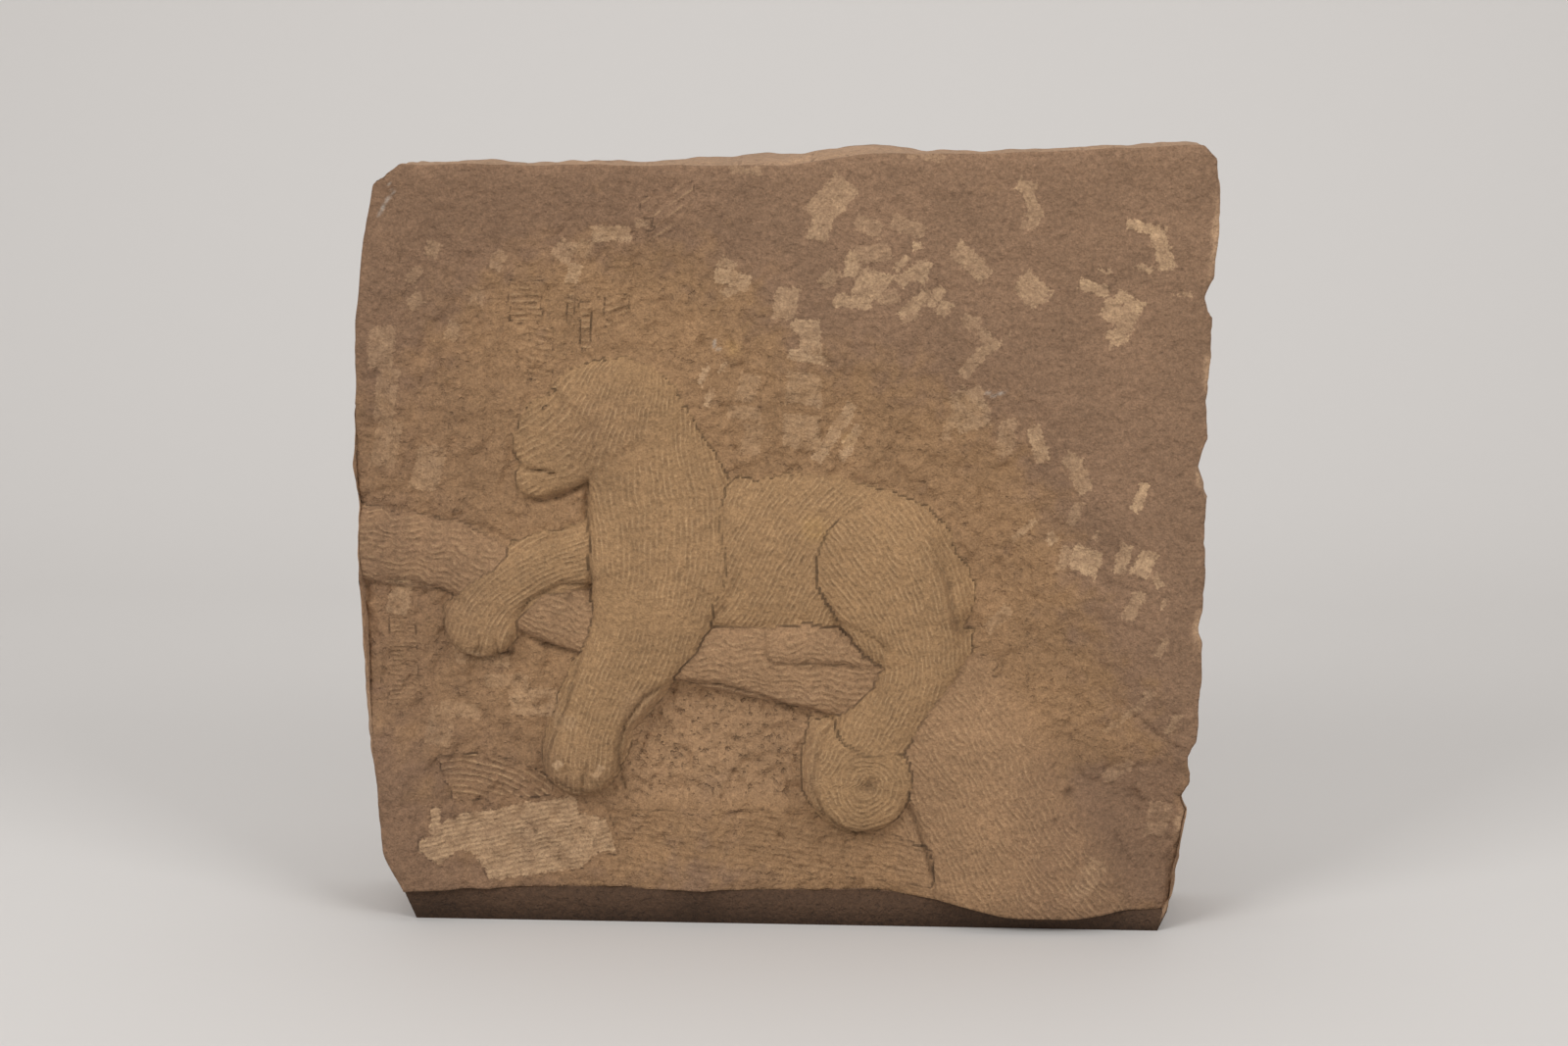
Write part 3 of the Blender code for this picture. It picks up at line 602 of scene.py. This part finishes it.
# ---------------------------------------------------------------------------------------------------------------
# Places of all the points: the face, then the sides with their swell and their broken stone
# ---------------------------------------------------------------------------------------------------------------
height = height + 0.35 * rough(x * 0.21, z * 0.21, 9.0) + 0.15 * rough(x * 0.6, z * 0.6, 2.0)
rim = np.minimum.reduce([x - left_edge(z), right_edge(z) - x, top_edge(x) - z, z - bottom_edge(x)])
y = -height + ARRIS_WEAR * (1.0 - smooth_step(0.0, 9.0, rim)) ** 2
nick = sum(lost * np.maximum(0.0, 1.0 - np.abs(z - level + 0.4 * half) / half) ** 0.7
           for level, half, lost in RIGHT_NICKS)
nick = nick + 0.8 * np.maximum(0.0, rough(z * 0.19, 21.0, 0.0))
place_x = x - nick * (1.0 - smooth_step(0.0, 12.0, right_edge(z) - x))
place_z = z.copy()

broken = rough(x * 0.040, depth * 0.060, z * 0.040) + 0.5 * rough(x * 0.11, depth * 0.13, z * 0.11)
swell = np.interp(depth, [0, 5.4, 18, 75], [0, 0.35, 1.0, 0.0])
behind = ~on_face
fade = smooth_step(0, 5, depth)
left, right = behind & (across < 1e-4), behind & (across > 1 - 1e-4)
place_x = np.where(left, x - SIDE_SWELL * swell * bump(135, 130, z) - SIDE_ROUGHNESS * broken * fade, place_x)
place_x = np.where(right, place_x + SIDE_SWELL * 0.2 * swell + SIDE_ROUGHNESS * broken * fade, place_x)
over = behind & (up > 1 - 1e-4)
level_top = smooth_step(-100, -10, x) * (1.0 - smooth_step(30, 75, x))
top_fall = TOP_FALL * (1.0 - level_top) * (depth / BLOCK_DEPTH)
top_rise = (SIDE_ROUGHNESS * broken + TOP_HUMP * swell * bump(12, 60, x)) * fade
place_z = np.where(over, z + top_rise - top_fall, place_z)
under = behind & (up < 1e-4)
foot = np.interp(depth, [0, 3.2, 5.4, 9.0], [1.0, 0.97, 0.88, 0.0])
place_z = np.where(under, z * foot, place_z)
tuck = FOOT_TUCK * (1.0 - smooth_step(0.0, 22.0, place_z)) * smooth_step(3.0, 14.0, depth)
place_x = np.where(left | under, place_x + tuck * (1.0 - smooth_step(-205, -120, x)), place_x)
place_x = np.where(right | under, place_x - tuck * smooth_step(110, 185, x), place_x)
edge_y = -height + ARRIS_WEAR
arris_y = edge_y * (1 - smooth_step(0, 9, depth)) + depth
y = np.where(behind, arris_y, y)

# Painted shade: the undercut under the front arris is coloured dark from 0.5 mm in, where shade falls under the
# overhang
painted_underside_shade = np.where(under, smooth_step(0.5, 3.0, depth), 0.0)
broken_arris = (1.0 - smooth_step(2.0, 4.5, right_edge(z) - x + 2.0 * medium)) * np.maximum.reduce(
    [bump(level, half, z) for level, half in ((372, 30), (303, 16), (168, 16), (60, 12), (248, 9))])
clean = np.where(on_face, 0.9 * broken_arris + 0.22 * window, 0.0)
clean = clean + np.where(over, 0.5 * smooth_step(0.0, 3.0, depth), 0.0)
clean = clean + np.where(left | right, 0.45 * smooth_step(0.0, 3.0, depth), 0.0)
# The sawn back is one flat face, and its finish is the same all over
back_rim = depth > BLOCK_DEPTH - 0.1
painted_underside_shade, clean, soil = (np.where(back_rim, level, layer) for level, layer in ((0.0, painted_underside_shade), (0.25, clean), (0.0, soil)))
middle_y = 1000 * cad_box[1][1] - BLOCK_DEPTH
spots = np.column_stack((place_x + MIDDLE_SHIFT, y + middle_y, place_z)) / 1000
spots = np.clip(spots, np.array(cad_box[0]), np.array(cad_box[1]))
block_mesh.vertices.foreach_set("co", spots.astype(np.float32).ravel())
block_mesh.update()

finish = {"stroke": stroke, "fur": fur, "bark": bark, "fresh": fresh, "strength": strength, "comb": comb,
          "weathered": weathered, "painted_crease_shade": painted_crease_shade, "figure": figure, "timber": timber, "pitted": pitted,
          "painted_underside_shade": painted_underside_shade, "clean": clean, "soil": soil, "ochre": ochre, "chalk": chalk}
for name, values in finish.items():
    layer = block_mesh.attributes.new(name, "FLOAT", "POINT")
    layer.data.foreach_set("value", values.astype(np.float32))


# ---------------------------------------------------------------------------------------------------------------
# Finish: fine brown sandstone, worked by hand and weathered. It is matt, with a fine grain, pale where it is fresh.
# ---------------------------------------------------------------------------------------------------------------
def linear(hex_colour):
    channels = [int(hex_colour[place:place + 2], 16) / 255 for place in (0, 2, 4)]
    return [c / 12.92 if c <= 0.04045 else ((c + 0.055) / 1.055) ** 2.4 for c in channels] + [1.0]


def add(tree, kind, settings=(), **links):
    """A node with its settings, and links into its sockets by name or number (as n0, n1)."""
    node = tree.nodes.new(kind)
    for key, value in dict(settings).items():
        if isinstance(key, int) or key in node.inputs:
            node.inputs[key].default_value = value
        else:
            setattr(node, key, value)
    for key, source in links.items():
        socket = int(key[1:]) if key[0] == "n" and key[1:].isdigit() else key.replace("_", " ")
        tree.links.new(source, node.inputs[socket])
    return node


sandstone = bpy.data.materials.new("weathered sandstone, hand worked")
sandstone.use_nodes = True
tree = sandstone.node_tree
shader = tree.nodes["Principled BSDF"]
shader.inputs["Roughness"].default_value = 0.92
shader.inputs["IOR"].default_value = 1.45


# What was laid down on the mesh for each point
layer = {name: add(tree, "ShaderNodeAttribute", {"attribute_name": name}).outputs["Fac"] for name in finish}

# Grain of 1 mm, specks of 2.4 mm, pocks of 3.3 mm, crumbs of 6 mm and blotches of 33 mm
place = add(tree, "ShaderNodeTexCoord").outputs["Object"]
grain = add(tree, "ShaderNodeTexNoise", {"Scale": 1100.0, "Detail": 2.0}, Vector=place).outputs["Fac"]
speckle = add(tree, "ShaderNodeTexNoise", {"Scale": 420.0, "Detail": 3.0, "Roughness": 0.6}, Vector=place).outputs["Fac"]
pock = add(tree, "ShaderNodeTexNoise", {"Scale": 300.0, "Detail": 2.0, "Roughness": 0.55}, Vector=place).outputs["Fac"]
crumb = add(tree, "ShaderNodeTexNoise", {"Scale": 170.0, "Detail": 4.0, "Roughness": 0.62}, Vector=place).outputs["Fac"]
blotch = add(tree, "ShaderNodeTexNoise", {"Scale": 30.0, "Detail": 4.0, "Roughness": 0.6}, Vector=place).outputs["Fac"]

# Strokes of the claw and of the fur and bark, a wave across each, a little unsteady as a hand is
turns = add(tree, "ShaderNodeMath", {"operation": "MULTIPLY", 1: 2 * math.pi}, n0=layer["stroke"]).outputs[0]
wobble = add(tree, "ShaderNodeMath", {"operation": "MULTIPLY_ADD", 1: 2.4}, n0=crumb, n2=turns).outputs[0]
wave = add(tree, "ShaderNodeMath", {"operation": "SINE"}, n0=wobble).outputs[0]
combs = add(tree, "ShaderNodeMath", {"operation": "MAXIMUM"}, n0=layer["fur"], n1=layer["comb"]).outputs[0]
combs = add(tree, "ShaderNodeMath", {"operation": "MULTIPLY_ADD", 1: 0.80}, n0=layer["bark"], n2=combs).outputs[0]
waves = add(tree, "ShaderNodeMath", {"operation": "MULTIPLY"}, n0=wave, n1=combs).outputs[0]
# Painted shade in the stroke grooves and painted highlight on their ridges, over the bump of the same wave
painted_groove_shade = add(tree, "ShaderNodeMapRange", {"From Min": -0.2, "From Max": -1.3, "To Max": 0.24}, Value=waves).outputs[0]
painted_ridge_highlight = add(tree, "ShaderNodeMapRange", {"From Min": 0.35, "From Max": 1.3, "To Max": 0.40}, Value=waves).outputs[0]

# Fresh chisel marks, pale, with ragged edges and faint streaks of painted shade in the stroke grooves
ragged = add(tree, "ShaderNodeMath", {"operation": "MULTIPLY_ADD", 1: 4.0, 2: -4.9}, n0=crumb).outputs[0]
ragged = add(tree, "ShaderNodeMath", {"operation": "MULTIPLY_ADD", 1: 5.5}, n0=speckle, n2=ragged).outputs[0]
edge = add(tree, "ShaderNodeMath", {"operation": "ADD"}, n0=layer["fresh"], n1=ragged).outputs[0]
pale = add(tree, "ShaderNodeMapRange", {"From Min": -0.4, "From Max": 0.5}, Value=edge).outputs[0]
pale = add(tree, "ShaderNodeMath", {"operation": "MULTIPLY"}, n0=pale, n1=layer["strength"]).outputs[0]
# Painted shade in the grooves: the pale of the fresh marks is weaker in each stroke's groove
pale_dimmed_in_grooves = add(tree, "ShaderNodeMapRange", {"From Min": -1.0, "From Max": 0.6, "To Min": 0.76}, Value=wave).outputs[0]
pale = add(tree, "ShaderNodeMath", {"operation": "MULTIPLY"}, n0=pale, n1=pale_dimmed_in_grooves).outputs[0]

# Pocks, painted shade in the creases and pocks, soil and ochre
hole = add(tree, "ShaderNodeMapRange", {"From Min": 0.42, "From Max": 0.30}, Value=pock).outputs[0]
hole = add(tree, "ShaderNodeMath", {"operation": "MULTIPLY"}, n0=hole, n1=layer["pitted"]).outputs[0]
# Painted shade in the pocks: their colour is darkened as well as their bump dug in
painted_pock_shade = add(tree, "ShaderNodeMath", {"operation": "MULTIPLY", 1: 0.35}, n0=hole).outputs[0]
crease_shade_share = add(tree, "ShaderNodeMath", {"operation": "MULTIPLY", 1: 0.75}, n0=layer["painted_crease_shade"]).outputs[0]
soiled = add(tree, "ShaderNodeMath", {"operation": "MULTIPLY", 1: 0.55}, n0=layer["soil"]).outputs[0]
stained = add(tree, "ShaderNodeMath", {"operation": "MULTIPLY", 1: 0.4}, n0=layer["ochre"]).outputs[0]

# Cut-back ground and old face, and then each colour over what is there
colour = add(tree, "ShaderNodeMix", {"data_type": "RGBA", 6: linear("957453"), 7: linear("876A52")},
             n0=layer["weathered"]).outputs[2]
for tint, share in (("9B7A56", layer["figure"]), ("997858", layer["timber"]), ("7A5E48", soiled),
                    ("B08F70", layer["clean"]), ("B89876", pale), ("BC9456", stained), ("5E4633", painted_groove_shade),
                    ("C4A27A", painted_ridge_highlight), ("5A4230", painted_pock_shade), ("3E2C20", crease_shade_share), ("4E3929", layer["painted_underside_shade"]),
                    ("C9C4BA", layer["chalk"])):
    colour = add(tree, "ShaderNodeMix", {"data_type": "RGBA", 7: linear(tint)}, n6=colour, n0=share).outputs[2]
tone = add(tree, "ShaderNodeMapRange", {"From Min": 0.3, "From Max": 0.7, "To Min": 0.88, "To Max": 1.12},
           Value=blotch).outputs[0]
fleck = add(tree, "ShaderNodeMapRange", {"From Min": 0.25, "From Max": 0.75, "To Min": 0.76, "To Max": 1.24},
            Value=speckle).outputs[0]
salt = add(tree, "ShaderNodeMapRange", {"From Min": 0.25, "From Max": 0.75, "To Min": 0.80, "To Max": 1.20},
           Value=grain).outputs[0]
tone = add(tree, "ShaderNodeMath", {"operation": "MULTIPLY"}, n0=tone, n1=fleck).outputs[0]
tone = add(tree, "ShaderNodeMath", {"operation": "MULTIPLY"}, n0=tone, n1=salt).outputs[0]
toned = add(tree, "ShaderNodeVectorMath", {"operation": "SCALE"}, n0=colour, Scale=tone).outputs[0]
tree.links.new(toned, shader.inputs["Base Color"])

# Depths in metres: strokes 0.2, pocks 1.2, crumbs 2.6, specks 0.6 and grain 0.2 mm
relief = add(tree, "ShaderNodeMath", {"operation": "MULTIPLY", 1: 0.00022}, n0=waves).outputs[0]
dug = add(tree, "ShaderNodeMath", {"operation": "MULTIPLY_ADD", 1: -0.0012}, n0=hole, n2=relief).outputs[0]
pits = add(tree, "ShaderNodeMath", {"operation": "MULTIPLY_ADD", 1: 0.0026}, n0=crumb, n2=dug).outputs[0]
specks = add(tree, "ShaderNodeMath", {"operation": "MULTIPLY_ADD", 1: 0.0006}, n0=speckle, n2=pits).outputs[0]
sand = add(tree, "ShaderNodeMath", {"operation": "MULTIPLY_ADD", 1: 0.0002}, n0=grain, n2=specks).outputs[0]
bumps = add(tree, "ShaderNodeBump", {"Strength": 1.0, "Distance": 1.0}, Height=sand)
tree.links.new(bumps.outputs[0], shader.inputs["Normal"])

for polygon in block_mesh.polygons:
    polygon.use_smooth = len(polygon.vertices) == 4
block_mesh.materials.append(sandstone)
carved_block = bpy.data.objects.new("carved_block", block_mesh)
bpy.context.scene.collection.objects.link(carved_block)
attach(carved_block, "root")
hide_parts("relief_panel")

# ---------------------------------------------------------------------------------------------------------------
# The studio: a pale seamless sweep under and behind the block, two soft lights in front, and the camera
# ---------------------------------------------------------------------------------------------------------------
sweep = bmesh.new()
profile = [sweep.verts.new((0, y, 0)) for y in (-2.6, -1.0, 0.2, 0.75)]
for step in range(1, 13):
    turn = math.radians(90 * step / 12)
    profile.append(sweep.verts.new((0, 0.75 + 0.7 * math.sin(turn), 0.7 - 0.7 * math.cos(turn))))
profile.append(sweep.verts.new((0, 1.45, 3.2)))
line = [sweep.edges.new(pair) for pair in zip(profile, profile[1:])]
bmesh.ops.translate(sweep, verts=profile, vec=(-3.0, 0, 0))
made = bmesh.ops.extrude_edge_only(sweep, edges=line)
far = [item for item in made["geom"] if isinstance(item, bmesh.types.BMVert)]
bmesh.ops.translate(sweep, verts=far, vec=(6.0, 0, 0))
for face in sweep.faces:
    face.smooth = True
bmesh.ops.recalc_face_normals(sweep, faces=sweep.faces)
sweep_mesh = bpy.data.meshes.new("paper_sweep")
sweep.to_mesh(sweep_mesh)
sweep.free()
paper = bpy.data.materials.new("matt background paper")
paper.use_nodes = True
paper.node_tree.nodes["Principled BSDF"].inputs["Base Color"].default_value = linear("CBC8C5")
paper.node_tree.nodes["Principled BSDF"].inputs["Roughness"].default_value = 0.9
sweep_mesh.materials.append(paper)
paper_sweep = bpy.data.objects.new("paper_sweep", sweep_mesh)
bpy.context.scene.collection.objects.link(paper_sweep)

SOFT_LIGHTS = [
    ("soft_light_left", (-1.5, -1.7, 1.7), 1.1, 33, (0, 0, 0.2)),
    ("soft_light_right", (1.6, -1.5, 1.7), 1.1, 27, (0, 0, 0.2)),
    ("soft_light_back", (0.0, 0.25, 1.9), 1.2, 9, (0, 1.0, 0.2))]
for name, spot, size, watts, aim_at in SOFT_LIGHTS:
    lamp = bpy.data.lights.new(name, "AREA")
    lamp.shape = "SQUARE"
    lamp.size = size
    lamp.energy = watts
    lamp_object = bpy.data.objects.new(name, lamp)
    lamp_object.location = spot
    aim = Vector(aim_at) - Vector(spot)
    lamp_object.rotation_euler = aim.to_track_quat("-Z", "Y").to_euler()
    bpy.context.scene.collection.objects.link(lamp_object)

world = bpy.data.worlds.new("studio")
world.use_nodes = True
world.node_tree.nodes["Background"].inputs[0].default_value = linear("E9E7E6")
world.node_tree.nodes["Background"].inputs[1].default_value = 0.55
bpy.context.scene.world = world
bpy.context.scene.view_settings.view_transform = "Standard"

elevation, turn = math.radians(11.5), math.radians(3.0)
back_way = Vector((math.sin(turn) * math.cos(elevation), -math.cos(turn) * math.cos(elevation), math.sin(elevation)))
right_way = Vector((math.cos(turn), math.sin(turn), 0.0))
up_way = back_way.cross(right_way)
camera_data = bpy.data.cameras.new("camera")
camera_data.lens = 65.25
camera_data.sensor_width = 36.0
camera = bpy.data.objects.new("camera", camera_data)
turned = Matrix((right_way, up_way, back_way)).transposed().to_4x4()
spot = Vector((0.0748 + MIDDLE_SHIFT / 1000, -1.4467 + middle_y / 1000, 0.2981 + 0.219))
camera.matrix_world = Matrix.Translation(spot) @ turned
bpy.context.scene.collection.objects.link(camera)
bpy.context.scene.camera = camera
